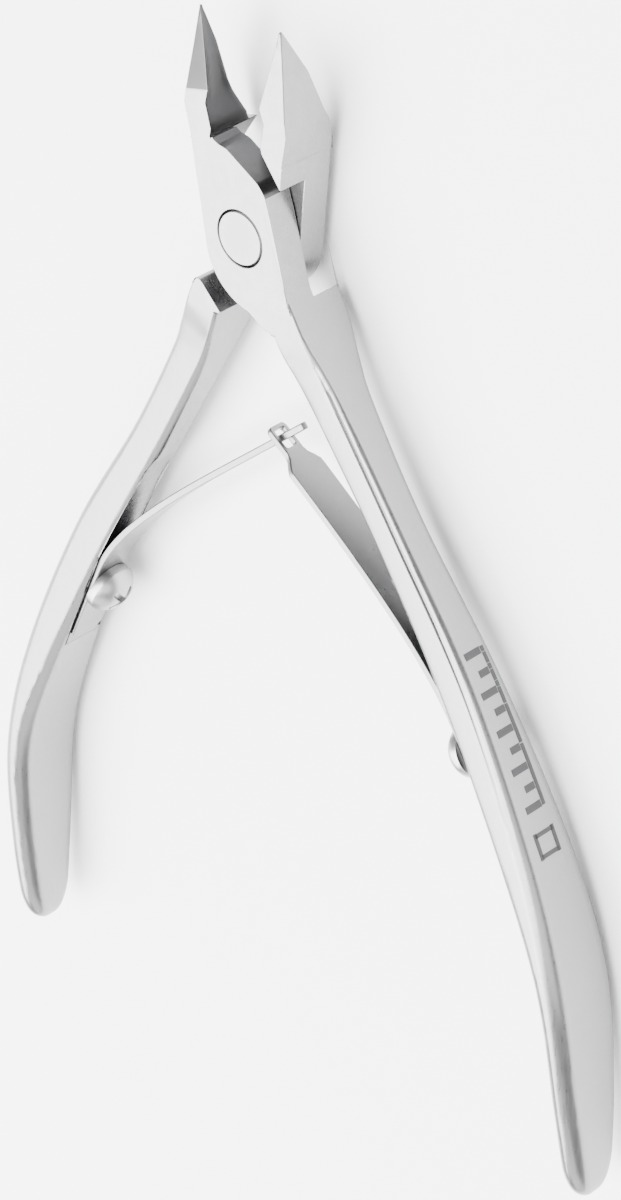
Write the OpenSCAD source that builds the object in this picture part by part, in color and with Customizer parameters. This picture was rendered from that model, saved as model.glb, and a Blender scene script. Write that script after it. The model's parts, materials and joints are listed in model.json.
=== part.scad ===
// Cuticle nipper: two forged levers with a half-lap joint, a flush rivet and a pair of hooked leaf springs.
// It lies on its back: +Z points out of its front face and +Y towards the jaw tips.
// The origin is on the pivot axis, on the flat back of the joint. Each lever is drawn shut, with its
// cutting edge on the plane x = 0, and is then turned about the pivot to where the springs hold it.

/* [Opening] */
// Angle between the two levers at rest, from shut jaws
open_angle = 25.6; // [20:0.2:30]

/* [Joint] */
// Thickness of each half of the lap joint
lap_t = 3.2; // [2.9:0.1:3.9]
// Gap between the two laps
lap_gap = 0.06; // [0.04:0.01:0.12]
// Width of the joint outside the pivot, on the jaw side
lap_out = 4.2; // [3.9:0.1:4.8]
// Distance from the pivot to the lower shoulder
shoulder_y = 7.9; // [7.6:0.1:9]
// Distance from the pivot to the upper shoulder
crown_y = 8.2; // [8:0.1:9]

/* [Pivot] */
// Radius of the rivet's flush head and of the collar
head_r = 2.7; // [2.2:0.05:3.2]
// Thickness of the rivet's head and of the collar
head_t = 1.1; // [0.8:0.1:1.4]
// Radius of the rivet's shank
shank_r = 1.6; // [1.2:0.05:2]
// Running clearance round the rivet, on the radius
pivot_clearance = 0.05; // [0.02:0.01:0.1]

/* [Jaws] */
// Distance from the pivot to the heel of the cutting edge
heel_y = 13.9; // [13:0.1:16]
// Length of the cutting edge along the jaw
edge_len = 7.4; // [5:0.1:9]
// Width of each jaw at the heel
jaw_w = 3.5; // [3:0.1:4.2]
// How far the tip lies behind the front face
tip_back = 1.2; // [0.8:0.1:2]
// Relief between the jaws below the heel, for each jaw
throat = 0.75; // [0.5:0.05:1.2]

/* [Handles] */
// Distance from the pivot to the end of each handle
handle_len = 95.2; // [84:0.2:112]
// Greatest distance of the handle's middle from the centre plane, shut
bow = 18.8; // [17:0.2:21]
// Half thickness of the neck, seen from the front
neck_half_w = 1.95; // [1.7:0.05:2.3]
// Half thickness of the paddle, seen from the front
paddle_half_w = 1.6; // [1.4:0.05:2]
// Half depth of the neck, from front to back
neck_half_d = 2.05; // [1.85:0.05:2.5]
// Half depth of the paddle, from front to back
paddle_half_d = 4.3; // [3.7:0.1:5.1]
// Extra turn outwards of the front lever's handle
handle_set = 1.15; // [0:0.05:1.6]

/* [Leaf springs] */
// Thickness of the leaves
leaf_t = 0.7; // [0.55:0.05:0.85]
// Width of the leaves at the screw
leaf_w = 4; // [3.2:0.1:4.4]
// Distance from the pivot to the screws, along the closed jaws' line
screw_y = 49; // [46:0.5:56]
// Distance from the pivot to the point where the leaves hook
hook_y = 20.9; // [20:0.1:23]
// Width of the tongue
tongue_w = 0.9; // [0.8:0.05:1.2]
// Length of the tongue past the hook
tongue_len = 3.6; // [3.2:0.1:4.4]
// Clearance on each side of the tongue in the eye
eye_clearance = 0.2; // [0.15:0.05:0.35]
// Length of the eye along the leaf
eye_len = 2.1; // [1.9:0.1:2.6]
// Width of the strip round the eye
eye_wall = 0.4; // [0.35:0.05:0.6]

/* [Spring screws] */
// Radius of the domed head
screw_head_r = 2.6; // [2:0.05:2.8]
// Height of the head above the leaf, dome included
screw_head_h = 2.5; // [1.9:0.1:2.9]
// Radius of the shank
screw_shank_r = 1; // [0.8:0.05:1.2]
// Depth of the shank in the handle
screw_depth = 1.9; // [1.5:0.1:2.1]
// Depth of the seat milled in the handle for each leaf
groove_d = 0.5; // [0.4:0.05:0.8]
// Clearance beside a leaf in its seat
groove_side = 0.25; // [0.2:0.05:0.35]

/* [Hidden] */
$fn = 48;

half_open = open_angle / 2;
joint_d = 2 * lap_t;
mid_z = lap_t;
steel = [0.78, 0.79, 0.8];
spring_steel = [0.72, 0.73, 0.74];
screw_steel = [0.68, 0.69, 0.7];

// ---- curves -------------------------------------------------------------------------------

// One span of a Catmull-Rom curve through rows of numbers
function span(a, b, c, d, t) =
    0.5 * (2 * b + (c - a) * t + (2 * a - 5 * b + 4 * c - d) * t * t
           + (3 * b - a - 3 * c + d) * t * t * t);

// Row at position u along a list of rows, where u counts spans
function along(rows, u) =
    let (last = len(rows) - 1, i = min(floor(u), last - 1), t = u - i)
    span(rows[max(i - 1, 0)], rows[i], rows[i + 1], rows[min(i + 2, last)], t);

// Point of a Bezier curve with four control points
function bezier(p, t) =
    pow(1 - t, 3) * p[0] + 3 * t * pow(1 - t, 2) * p[1] + 3 * t * t * (1 - t) * p[2] + pow(t, 3) * p[3];

function unit(v) = v / norm(v);
function turned(p, a) = [p[0] * cos(a) - p[1] * sin(a), p[0] * sin(a) + p[1] * cos(a)];

// ---- lofted solid through rings of equal length ---------------------------------------------

module loft(rings) {
    n = len(rings[0]);
    last = len(rings) - 1;
    points = [for (ring = rings) for (p = ring) p];
    sides = [for (i = [0 : last - 1]) for (j = [0 : n - 1])
        let (a = i * n + j, b = i * n + (j + 1) % n)
        each [[a, a + n, b], [b, a + n, b + n]]];
    caps = [[for (j = [0 : n - 1]) j], [for (j = [n - 1 : -1 : 0]) last * n + j]];
    polyhedron(points, concat(sides, caps));
}

// ---- handle -------------------------------------------------------------------------------

// Middle of the handle when shut, with its half thickness and half depth: [x, y, half_w, half_d]
handle_rows = [
    [2.7, -4.5, 1.6, lap_t - 0.08],
    [3.4, -9.5, 1.85, lap_t - 0.08],
    [4.25, -13.2, neck_half_w, neck_half_d + 0.6],
    [5.4, -17.6, neck_half_w, neck_half_d + 0.25],
    [8.9, -28.7, neck_half_w, neck_half_d],
    [13.85, -43.5, neck_half_w + 0.3, neck_half_d + 0.5],
    [bow - 1.2, -0.63 * handle_len, neck_half_w + 0.1, paddle_half_d - 0.7],
    [bow, -0.76 * handle_len, paddle_half_w, paddle_half_d - 0.1],
    [bow - 1.7, -0.89 * handle_len, paddle_half_w - 0.05, paddle_half_d - 0.7],
    [bow - 3.8, -handle_len, paddle_half_w - 0.1, paddle_half_d - 1.9]];
handle_spans = len(handle_rows) - 1;
rings_per_span = 5;
end_rings = 6;
end_reach = 0.5;

function handle_at(u) = along(handle_rows, u);
function handle_dir(u) =
    let (e = 0.01, a = handle_at(max(u - e, 0)), b = handle_at(min(u + e, handle_spans)))
    unit([b[0] - a[0], b[1] - a[1]]);

// Edge radius of the handle's section, growing from the joint to the paddle
function edge_r(u) = min(0.3 + 0.14 * u, 1.1);

// Rounded rectangle of half sizes w and d in the plane across the handle at u
function handle_ring(u, k) =
    let (row = handle_at(u), t = handle_dir(u), across = [-t[1], t[0]],
         w = row[2] * k, d = row[3] * k, r = min(edge_r(u), 0.85 * w))
    [for (q = [0 : 3]) for (s = [0 : 3])
        let (a = 90 * q + 30 * s,
             cx = (q == 0 || q == 3 ? 1 : -1) * (w - r), cz = (q < 2 ? 1 : -1) * (d - r),
             x = cx + r * cos(a), z = cz + r * sin(a))
        [row[0] + across[0] * x, row[1] + across[1] * x, mid_z + z]];

module handle() {
    body = [for (i = [0 : handle_spans * rings_per_span - 3]) i / rings_per_span];
    tail = handle_spans - end_reach;
    cap = [for (i = [1 : end_rings]) 90 * i / end_rings - 1.2];
    loft(concat([for (u = body) handle_ring(u, 1)],
                [for (a = cap) handle_ring(tail + end_reach * sin(a), pow(cos(a), 0.9))]));
}

// ---- joint --------------------------------------------------------------------------------

// Outline of the joint, shut, from the jaw down to the neck
arc_c = [1.5, -1.5];
arc_r = 6.05;

module joint_outline() {
    arc = [for (a = [174 : 9 : 246]) arc_c + arc_r * [cos(a), sin(a)]];
    polygon(concat(
        [[-throat, 9.4], [-jaw_w + 0.1, 9.4], [-lap_out + 0.4, 7], [-lap_out + 0.1, 3.4]],
        arc,
        [[0.5, -8.5], [1.6, -9.1], [4.5, -9.1], [4.45, -5],
         [4.45, 2.2], [4.35, 4.3], [3.8, 5.4], [0.7, 8.5], [-0.2, 8.9], [-throat, 9.3]]));
}

// Room for the other lever's lap: a slot across the joint between two shoulders
slot_dir = [0.82, 0.573];
function on_line(p, d, s) = p + s * d;

module lap_slot() {
    low = [2.45, -shoulder_y + 0.2];
    high = [-2.6, crown_y];
    reach = 14;
    up = [0.745, 0.667];
    translate([0, 0, -over])
        linear_extrude(mid_z + lap_gap / 2 + over)
            polygon([on_line(low, slot_dir, -reach), on_line(low, slot_dir, reach),
                     on_line(high, up, reach), on_line(high, up, -reach)]);
}

// ---- jaw ----------------------------------------------------------------------------------

tip_y = heel_y + edge_len;
tip_z = joint_d - tip_back;

// Section of the jaw at y: cutting corner, hollow inner side, back corner and front corner
function jaw_ring(y, edge, hollow, inner, back, front) =
    let (mid = (edge + inner) / 2 - [hollow, 0])
    [for (p = [edge, (edge + mid) / 2 - [hollow / 4, 0], mid, (mid + inner) / 2 - [hollow / 4, 0],
               inner, back, front]) [p[0], y, p[1]]];

module jaw() {
    f = joint_d;
    half = heel_y + 0.5 * edge_len;
    loft([
        jaw_ring(8.4, [-throat - 0.9, f], 0.1, [-1.9, 0.6], [-jaw_w - 0.15, 0], [-jaw_w, f]),
        jaw_ring(10.2, [-throat, f], 0.1, [-1.1, 1.4], [-jaw_w - 0.1, 0.02], [-jaw_w, f]),
        jaw_ring(heel_y - 1.3, [-throat, f], 0.2, [-0.8, 2.8], [-jaw_w, 0.7], [-jaw_w, f]),
        jaw_ring(heel_y, [0, f + 0.05], 0.55, [-0.55, 3.3], [-jaw_w + 0.15, 1.5], [-jaw_w + 0.5, f - 0.1]),
        jaw_ring(half, [0, f - tip_back / 2], 0.3, [-0.4, 3.8], [-0.6 * jaw_w, 2.9],
                 [-0.45 * jaw_w, f - tip_back / 2 - 0.1]),
        jaw_ring(tip_y, [0, tip_z], 0.03, [-0.03, tip_z - 0.24], [-0.2, tip_z - 0.26],
                 [-0.17, tip_z - 0.02])]);
}

// ---- leaf springs and their screws ----------------------------------------------------------

// Place along the handle where the screw sits
screw_span = 5;
screw_from = handle_rows[screw_span][1];
screw_u = screw_span - (screw_y + screw_from) / (handle_rows[screw_span + 1][1] - screw_from);
handle_t = handle_dir(screw_u);
inward = [handle_t[1], -handle_t[0]];
seat = seat_floor(screw_u);
// Clearance under a leaf, so that the curved floor of its seat stays clear of its straight root
lift = 0.05;
leaf_root = seat + inward * (leaf_t / 2 + lift);

// Point on the floor of the seat milled in the handle's inner face
function seat_floor(u) =
    let (row = handle_at(u), t = handle_dir(u))
    [row[0], row[1]] + [t[1], -t[0]] * (row[2] - groove_d);

// A leaf is drawn at rest, on the right-hand side. side is 1 for the eye leaf, which is there, and -1 for
// the tongue leaf, which is mirrored afterwards. The two cross at the hook.
hook_x = 1.3;
lean = 38;
leaf_straight = 2.4;
leaf_start = 8;
leaf_end = 12;

function rest_turn(side) = half_open + (side > 0 ? handle_set : 0);
function root(side) = turned(leaf_root, rest_turn(side));
function up_handle(side) = turned(-handle_t, rest_turn(side));
function hook(side) = [side * hook_x, -hook_y];
function leaf_path(side) =
    let (start = root(side) + leaf_straight * up_handle(side))
    [start, start + leaf_start * up_handle(side), hook(side) - leaf_end * [-cos(lean), sin(lean)], hook(side)];
function leaf_point(side, t) = bezier(leaf_path(side), t);
function leaf_dir(side, t) =
    let (e = 0.002) unit(leaf_point(side, min(t + e, 1)) - leaf_point(side, max(t - e, 0)));

// Rectangle across the leaf at point p, for a leaf that runs along d
function leaf_ring(p, d, half_w) =
    let (n = [-d[1], d[0]] * leaf_t / 2)
    [[p[0] + n[0], p[1] + n[1], mid_z + half_w], [p[0] - n[0], p[1] - n[1], mid_z + half_w],
     [p[0] - n[0], p[1] - n[1], mid_z - half_w], [p[0] + n[0], p[1] + n[1], mid_z - half_w]];

// Length of the cutter for a hole, and how far other cutters run past the face they open
cut_len = 6;
over = 1;

// Screw hole through the leaf's root
module leaf_hole(side) {
    dir = up_handle(side);
    translate([root(side)[0], root(side)[1], mid_z])
        rotate([0, 90, atan2(dir[1], dir[0]) + 90])
            cylinder(h = cut_len, r = screw_shank_r + 0.2, center = true);
}

// A leaf bends along one line, flex of the way from its screw to the hook. The foot below that line
// stays clamped on the handle, and the blade above it swings.
flex = 0.28;
flex_gap = 0.005;
heel = 0.44;
heel_steps = 5;
eye_half = tongue_w / 2 + eye_clearance + eye_wall;
blade_start = flex + flex_gap;
eye_shoulder = 0.91;

// Half widths along each blade: [part of the way from screw to hook, half width]
eye_rows = concat(
    [for (i = [0 : 8]) [blade_start + (eye_shoulder - blade_start) * i / 8, leaf_w / 2]],
    [[0.925, leaf_w / 2 - 0.2], [0.935, leaf_w / 2 - 0.5], [0.941, eye_half + 0.15], [0.953, eye_half], [1, eye_half]]);
tongue_rows = [for (i = [0 : 12])
    let (s = i / 12) [blade_start + (1 - blade_start) * s, leaf_w / 2 + (tongue_w / 2 - leaf_w / 2) * pow(min(s / 0.88, 1), 1.2)]];

// Section of the foot below the screw, where it follows the floor of its seat
function heel_ring(side, u, half_w) =
    let (t = handle_dir(u), p = seat_floor(u) + [t[1], -t[0]] * (leaf_t / 2 + lift))
    leaf_ring(turned(p, rest_turn(side)), turned(-t, rest_turn(side)), half_w);

module leaf_foot(side) {
    steps = 6;
    difference() {
        loft(concat(
            [heel_ring(side, screw_u + heel, leaf_w / 2 - 0.5)],
            [for (i = [heel_steps : -1 : 1]) heel_ring(side, screw_u + 0.925 * heel * i / heel_steps, leaf_w / 2)],
            [leaf_ring(root(side), up_handle(side), leaf_w / 2)],
            [for (i = [0 : steps])
                leaf_ring(leaf_point(side, flex * i / steps), leaf_dir(side, flex * i / steps), leaf_w / 2)]));
        leaf_hole(side);
    }
}

module leaf_blade(side, rows, past) {
    tip = leaf_dir(side, 1);
    loft(concat(
        [for (row = rows) leaf_ring(leaf_point(side, row[0]), leaf_dir(side, row[0]), row[1])],
        [for (p = past) leaf_ring(hook(side) + p[0] * tip, tip, p[1])]));
}

module eye_blade() {
    d = leaf_dir(1, 1);
    above = 0.9;
    difference() {
        leaf_blade(1, eye_rows, [[above + eye_wall - 0.2, eye_half], [above + eye_wall, eye_half - 0.25]]);
        translate([hook(1)[0], hook(1)[1], mid_z])
            rotate([0, 0, atan2(d[1], d[0])])
                translate([above - eye_len / 2, 0, 0])
                    cube([eye_len, 4, tongue_w + 2 * eye_clearance], center = true);
    }
}

module tongue_blade() {
    leaf_blade(-1, tongue_rows, [[tongue_len / 2, tongue_w / 2], [tongue_len, tongue_w / 2 - 0.15]]);
}

// Seat milled in the handle's inner face, from below the screw to the neck, with a rim on each side
seat_low = heel + 0.06;
seat_high = 1.3;
seat_rim = 0.35;
seat_steps = 9;

function seat_ring(u) =
    let (t = handle_dir(u), floor_p = seat_floor(u), open_p = floor_p + 3 * [t[1], -t[0]],
         w = min(leaf_w / 2 + groove_side, handle_at(u)[3] - seat_rim))
    [[floor_p[0], floor_p[1], mid_z + w], [floor_p[0], floor_p[1], mid_z - w],
     [open_p[0], open_p[1], mid_z - w], [open_p[0], open_p[1], mid_z + w]];

module leaf_seat() {
    loft([for (i = [0 : seat_steps]) seat_ring(screw_u + seat_low - (seat_low + seat_high) * i / seat_steps)]);
}

// Domed screw with a crossed recess; drawn shut, pointing into the handle
module spring_screw() {
    slot_w = 0.6;
    slot_d = 0.9;
    slot_len = 3;
    base = lift + leaf_t + 0.03;
    top = base + screw_head_h;
    dome_h = 0.65 * screw_head_h;
    dome_r = (screw_head_r * screw_head_r + dome_h * dome_h) / (2 * dome_h);
    translate([seat[0], seat[1], mid_z])
        rotate([0, 90, atan2(inward[1], inward[0])])
            difference() {
                union() {
                    translate([0, 0, -screw_depth])
                        cylinder(h = top + screw_depth - slot_d - 0.1, r = screw_shank_r);
                    intersection() {
                        translate([0, 0, base])
                            cylinder(h = screw_head_h, r = screw_head_r);
                        translate([0, 0, top - dome_r])
                            sphere(r = dome_r);
                    }
                }
                for (a = [45, 135])
                    rotate([0, 0, a])
                        translate([-slot_len / 2, -slot_w / 2, top - slot_d])
                            cube([slot_len, slot_w, slot_d + over]);
            }
}

// ---- levers ---------------------------------------------------------------------------------

// One lever before its slot and holes are cut, with its handle turned by set
module blank(set) {
    linear_extrude(joint_d) joint_outline();
    jaw();
    rotate([0, 0, set]) handle();
}

module screw_hole() {
    translate([seat[0], seat[1], mid_z])
        rotate([0, 90, atan2(inward[1], inward[0])])
            translate([0, 0, -screw_depth])
                cylinder(h = cut_len, r = screw_shank_r);
}

module spring_cut(set) {
    rotate([0, 0, set]) {
        leaf_seat();
        screw_hole();
    }
}

module front_lever() {
    color(steel)
        rotate([0, 0, half_open])
            difference() {
                blank(handle_set);
                lap_slot();
                translate([0, 0, -over]) cylinder(h = joint_d + 2 * over, r = shank_r + pivot_clearance);
                translate([0, 0, joint_d - head_t - pivot_clearance])
                    cylinder(h = head_t + over, r = head_r + pivot_clearance);
                spring_cut(handle_set);
            }
}

module rear_lever() {
    color(steel)
        rotate([0, 0, -half_open])
            mirror([1, 0, 0])
                difference() {
                    blank(0);
                    translate([0, 0, joint_d]) mirror([0, 0, 1]) lap_slot();
                    translate([0, 0, -over]) cylinder(h = joint_d + 2 * over, r = shank_r);
                    translate([0, 0, -over]) cylinder(h = head_t + over, r = head_r);
                    spring_cut(0);
                }
}

module pivot_rivet() {
    color(steel) {
        translate([0, 0, joint_d - head_t]) cylinder(h = head_t, r = head_r);
        cylinder(h = joint_d - head_t / 2, r = shank_r);
    }
}

module pivot_collar() {
    color(steel)
        difference() {
            cylinder(h = head_t, r = head_r);
            translate([0, 0, -over]) cylinder(h = head_t + 2 * over, r = shank_r);
        }
}

module eye_spring_foot() {
    color(spring_steel) leaf_foot(1);
}

module eye_spring() {
    color(spring_steel) eye_blade();
}

module tongue_spring_foot() {
    color(spring_steel) mirror([1, 0, 0]) leaf_foot(-1);
}

module tongue_spring() {
    color(spring_steel) mirror([1, 0, 0]) tongue_blade();
}

module eye_spring_screw() {
    color(screw_steel) rotate([0, 0, rest_turn(1)]) spring_screw();
}

module tongue_spring_screw() {
    color(screw_steel) mirror([1, 0, 0]) rotate([0, 0, rest_turn(-1)]) spring_screw();
}

front_lever();
rear_lever();
pivot_rivet();
pivot_collar();
tongue_spring_foot();
tongue_spring();
eye_spring_foot();
eye_spring();
tongue_spring_screw();
eye_spring_screw();
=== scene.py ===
"""Cuticle nipper: two forged levers, a flush rivet, a pair of hooked leaf springs and their screws."""

import json
import math
from contextlib import contextmanager

import bmesh
import bpy
import numpy as np
from bpy.props import FloatProperty, FloatVectorProperty, IntProperty, PointerProperty
from mathutils import Matrix, Vector


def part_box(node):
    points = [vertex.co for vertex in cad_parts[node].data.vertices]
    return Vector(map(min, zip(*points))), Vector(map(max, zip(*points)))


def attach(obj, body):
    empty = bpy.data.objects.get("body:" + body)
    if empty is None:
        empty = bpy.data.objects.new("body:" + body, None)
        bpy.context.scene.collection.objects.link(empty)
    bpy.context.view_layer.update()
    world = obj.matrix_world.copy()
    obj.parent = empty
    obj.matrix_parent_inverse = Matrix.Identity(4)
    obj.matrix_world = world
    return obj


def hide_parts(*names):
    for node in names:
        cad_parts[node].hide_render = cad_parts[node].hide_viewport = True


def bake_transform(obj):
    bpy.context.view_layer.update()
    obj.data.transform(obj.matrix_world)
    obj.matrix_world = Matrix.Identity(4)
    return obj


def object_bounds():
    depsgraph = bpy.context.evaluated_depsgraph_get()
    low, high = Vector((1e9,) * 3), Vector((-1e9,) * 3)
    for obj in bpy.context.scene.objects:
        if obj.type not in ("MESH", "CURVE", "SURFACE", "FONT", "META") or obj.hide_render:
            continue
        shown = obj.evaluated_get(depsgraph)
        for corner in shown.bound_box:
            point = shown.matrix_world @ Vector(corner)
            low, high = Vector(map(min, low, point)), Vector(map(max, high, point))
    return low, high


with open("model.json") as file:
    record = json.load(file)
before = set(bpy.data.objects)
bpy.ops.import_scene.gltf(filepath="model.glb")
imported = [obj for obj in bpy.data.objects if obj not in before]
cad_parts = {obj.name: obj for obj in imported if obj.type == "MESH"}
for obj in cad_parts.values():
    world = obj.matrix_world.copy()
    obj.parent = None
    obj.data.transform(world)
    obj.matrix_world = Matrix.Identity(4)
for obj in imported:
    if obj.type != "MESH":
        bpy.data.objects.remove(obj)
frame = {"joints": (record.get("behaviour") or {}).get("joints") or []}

bl_info = {
    "name": "Cuticle Nipper",
    "version": (1, 0, 0),
    "blender": (4, 5, 0),
    "location": "3D View > Sidebar > Nipper",
    "description": "Builds a cuticle nipper around its packed frame",
    "category": "Add Mesh",
}

JOINT = {joint["name"]: joint for joint in frame["joints"]}
REST_ANGLE = math.radians(JOINT["lever_pivot"]["range_deg"][1] + 0.2)
RIVET_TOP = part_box("pivot_rivet")[1]
CAD_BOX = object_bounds()
MM = 0.001


# ---- sizes and finishes ----

def length(name, default, description):
    return FloatProperty(name=name, description=description, default=default * MM,
                         min=0.0, precision=5, unit="LENGTH")


def tint(name, default, description):
    return FloatVectorProperty(name=name, description=description, default=default,
                               min=0.0, max=1.0, size=3, subtype="COLOR")


def share(name, default, description, top=1.0):
    return FloatProperty(name=name, description=description, default=default, min=0.0, max=top)


def angle(name, default, description):
    return FloatProperty(name=name, description=description, default=default,
                         subtype="ANGLE", unit="ROTATION")


def power(name, default, description):
    return FloatProperty(name=name, description=description, default=default, unit="POWER")


class LeverSizes(bpy.types.PropertyGroup):
    rest_angle: angle("Rest angle", REST_ANGLE, "Angle between the levers at rest")
    handle_set: angle("Handle set", math.radians(1.15), "Extra outward turn of the front lever's handle")
    depth: length("Joint depth", RIVET_TOP.z / MM, "Thickness of the joint, both laps together")
    lap_gap: length("Lap gap", 0.06, "Gap between the two laps")
    lap_out: length("Lap width", 4.2, "Width of the joint outside the pivot, on the jaw side")
    shoulder: length("Lower shoulder", 7.9, "Distance from the pivot to the lower shoulder")
    crown: length("Upper shoulder", 8.2, "Distance from the pivot to the upper shoulder")
    heel: length("Edge heel", 13.9, "Distance from the pivot to the heel of the cutting edge")
    edge: length("Cutting edge", 7.4, "Length of the cutting edge along the jaw")
    jaw_width: length("Jaw width", 3.5, "Width of each jaw at the heel")
    tip_back: length("Tip drop", 1.2, "How far the tip lies behind the front face")
    throat: length("Throat", 0.75, "Relief between the jaws below the heel, for each jaw")
    handle: length("Handle length", 95.2, "Distance from the pivot to the end of each handle")
    bow: length("Handle bow", 18.8, "Greatest distance of a handle from the centre plane, shut")
    neck_width: length("Neck half width", 1.95, "Half thickness of the neck, seen from the front")
    paddle_width: length("Paddle half width", 1.6, "Half thickness of the paddle, seen from the front")
    neck_depth: length("Neck half depth", 2.05, "Half depth of the neck, from front to back")
    paddle_depth: length("Paddle half depth", 4.3, "Half depth of the paddle, from front to back")
    crease: length("Crease depth", 0.26, "Depth of the fine crease along the front outer corner")
    soften: length("Edge round", 0.13, "Width of the rounding on every ground edge")


class PivotSizes(bpy.types.PropertyGroup):
    head: length("Head radius", RIVET_TOP.x / MM, "Radius of the flush head and of the collar")
    head_thick: length("Head thickness", 1.1, "Thickness of the head and of the collar")
    shank: length("Shank radius", 1.6, "Radius of the rivet's shank")
    clearance: length("Running clearance", 0.05, "Clearance round the rivet, on the radius")
    chamfer: length("Head chamfer", 0.2, "Chamfer round the head, which leaves a fine ring groove")


class SpringSizes(bpy.types.PropertyGroup):
    thick: length("Leaf thickness", 0.7, "Thickness of the leaves")
    width: length("Leaf width", 4.0, "Width of the leaves at the screw")
    screw_y: length("Screw distance", 49.0, "Distance from the pivot to the screws, shut")
    hook_y: length("Hook distance", 20.9, "Distance from the pivot to the point where the leaves hook")
    hook_x: length("Hook offset", 1.3, "Distance of that point from the centre plane")
    tongue: length("Tongue width", 0.9, "Width of the tongue past the hook")
    tongue_reach: length("Tongue length", 3.6, "Length of the tongue past the hook")
    eye_side: length("Eye clearance", 0.2, "Clearance on each side of the tongue in the eye")
    eye_long: length("Eye length", 2.1, "Length of the eye along the leaf")
    eye_wall: length("Eye wall", 0.4, "Width of the strip round the eye")
    eye_above: length("Eye offset", 0.9, "How far the eye reaches past the hook")
    lift: length("Seat clearance", 0.05, "Clearance under each leaf in its seat")
    seat_depth: length("Seat depth", 0.5, "Depth of the seat milled in the handle")
    seat_side: length("Seat side", 0.25, "Clearance beside a leaf in its seat")
    seat_rim: length("Seat rim", 0.35, "Rim left on each side of the seat")
    round: length("Leaf edge round", 0.14, "Rounding along the edges of the leaves")


class ScrewSizes(bpy.types.PropertyGroup):
    head: length("Head radius", 2.6, "Radius of the domed head")
    head_high: length("Head height", 2.5, "Height of the head above the leaf, dome included")
    shank: length("Shank radius", 1.0, "Radius of the shank")
    depth: length("Shank depth", 1.9, "Depth of the shank in the handle")
    slot_wide: length("Recess width", 0.6, "Width of the crossed recess")
    slot_deep: length("Recess depth", 0.9, "Depth of the crossed recess")
    slot_long: length("Recess length", 3.0, "Length of each arm pair of the recess")
    round: length("Head edge round", 0.05, "Rounding round the head and the recess")


class MarkSizes(bpy.types.PropertyGroup):
    ticks: IntProperty(name="Ticks", description="Number of ticks in the row", default=9, min=2, max=30)
    tick_wide: length("Tick width", 0.7, "Width of each tick along the handle")
    tick_high: length("Tick height", 2.0, "Height of each tick across the handle's side")
    bar_high: length("Bar height", 0.4, "Height of the bar under the ticks")
    proud: length("Etch relief", 0.012, "How far the etched film stands off the steel")


class Finishes(bpy.types.PropertyGroup):
    lever: tint("Lever steel", (0.235, 0.235, 0.238), "Satin stainless of the levers, rivet and collar")
    spring: tint("Spring steel", (0.20, 0.20, 0.203), "Rolled steel of the leaves")
    screw: tint("Screw steel", (0.36, 0.36, 0.36), "Turned steel of the screws")
    # The ground tint is painted shade: far darker than the lever steel, it stands in for the dark
    # reflections in the jaws' hollows. Only its rougher grind is a real finish.
    ground: tint("Ground steel", (0.07, 0.07, 0.072), "Hollow-ground inner sides of the jaws")
    # The honed tint is painted shade too: it darkens the front facets towards the tips to stand in for
    # their darker reflection.
    honed: tint("Honed steel", (0.085, 0.085, 0.087), "Honed front facets towards the tips")
    etch: tint("Etched mark", (0.035, 0.035, 0.037), "Dark grey of the etched mark")
    lever_rough: share("Lever roughness", 0.32, "Roughness of the satin levers")
    spring_rough: share("Spring roughness", 0.33, "Roughness of the leaves")
    screw_rough: share("Screw roughness", 0.36, "Roughness of the screws")
    grain: share("Grain", 0.5, "How strongly the brushing shows")
    wear: share("Edge wear", 0.6, "How much brighter and smoother the worn edges are")


class StageLook(bpy.types.PropertyGroup):
    floor: tint("Floor", (0.97, 0.97, 0.97), "Colour of the floor")
    sky: tint("Surroundings", (1.0, 1.0, 1.0), "Colour of the surroundings")
    sky_power: share("Surroundings strength", 0.6, "Strength of the surroundings", 5.0)
    key_power: power("Key light", 25.0, "Power of the large soft light over the front face")
    top_power: power("Top light", 78.0, "Power of the large soft light straight above")
    fill_power: power("Fill light", 5.0, "Power of each low fill light beside the handles")
    rim_power: power("Side light", 3.0, "Power of the soft light from the right")


# ---- curves and sections, in millimetres ----

def unit(v):
    v = np.asarray(v, float)
    return v / np.linalg.norm(v)


def turned(p, angle):
    c, s = math.cos(angle), math.sin(angle)
    return np.array([p[0] * c - p[1] * s, p[0] * s + p[1] * c])


def spline(rows, u):
    """Row at position u of a Catmull-Rom curve, where u counts spans."""
    last = len(rows) - 1
    i = min(int(math.floor(u)), last - 1)
    t = u - i
    a, b, c, d = rows[max(i - 1, 0)], rows[i], rows[i + 1], rows[min(i + 2, last)]
    return 0.5 * (2 * b + (c - a) * t + (2 * a - 5 * b + 4 * c - d) * t * t
                  + (3 * b - a - 3 * c + d) * t ** 3)


def heading(rows, u):
    step = 0.01
    return unit((spline(rows, min(u + step, len(rows) - 1)) - spline(rows, max(u - step, 0)))[:2])


def inwards(t):
    return np.array([t[1], -t[0]])


def bezier(p, t):
    return (1 - t) ** 3 * p[0] + 3 * t * (1 - t) ** 2 * p[1] + 3 * t * t * (1 - t) * p[2] + t ** 3 * p[3]


def filleted(points, radius, closed=True):
    """A polygon with each corner rounded by an arc of up to that radius."""
    points, out = np.array(points, float), []
    for i, corner in enumerate(points):
        if not closed and i in (0, len(points) - 1):
            out.append(corner)
            continue
        before, after = points[i - 1] - corner, points[(i + 1) % len(points)] - corner
        la, lb = np.linalg.norm(before), np.linalg.norm(after)
        half = math.acos(max(-1.0, min(1.0, float(before @ after) / (la * lb)))) / 2
        reach = min(radius / max(math.tan(half), 1e-6), 0.42 * la, 0.42 * lb)
        if half > math.radians(86) or reach < 0.02:
            out.append(corner)
            continue
        a, b = corner + before / la * reach, corner + after / lb * reach
        for t in np.linspace(0, 1, 5):
            out.append((1 - t) ** 2 * a + 2 * t * (1 - t) * corner + t * t * b)
    return out


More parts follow.
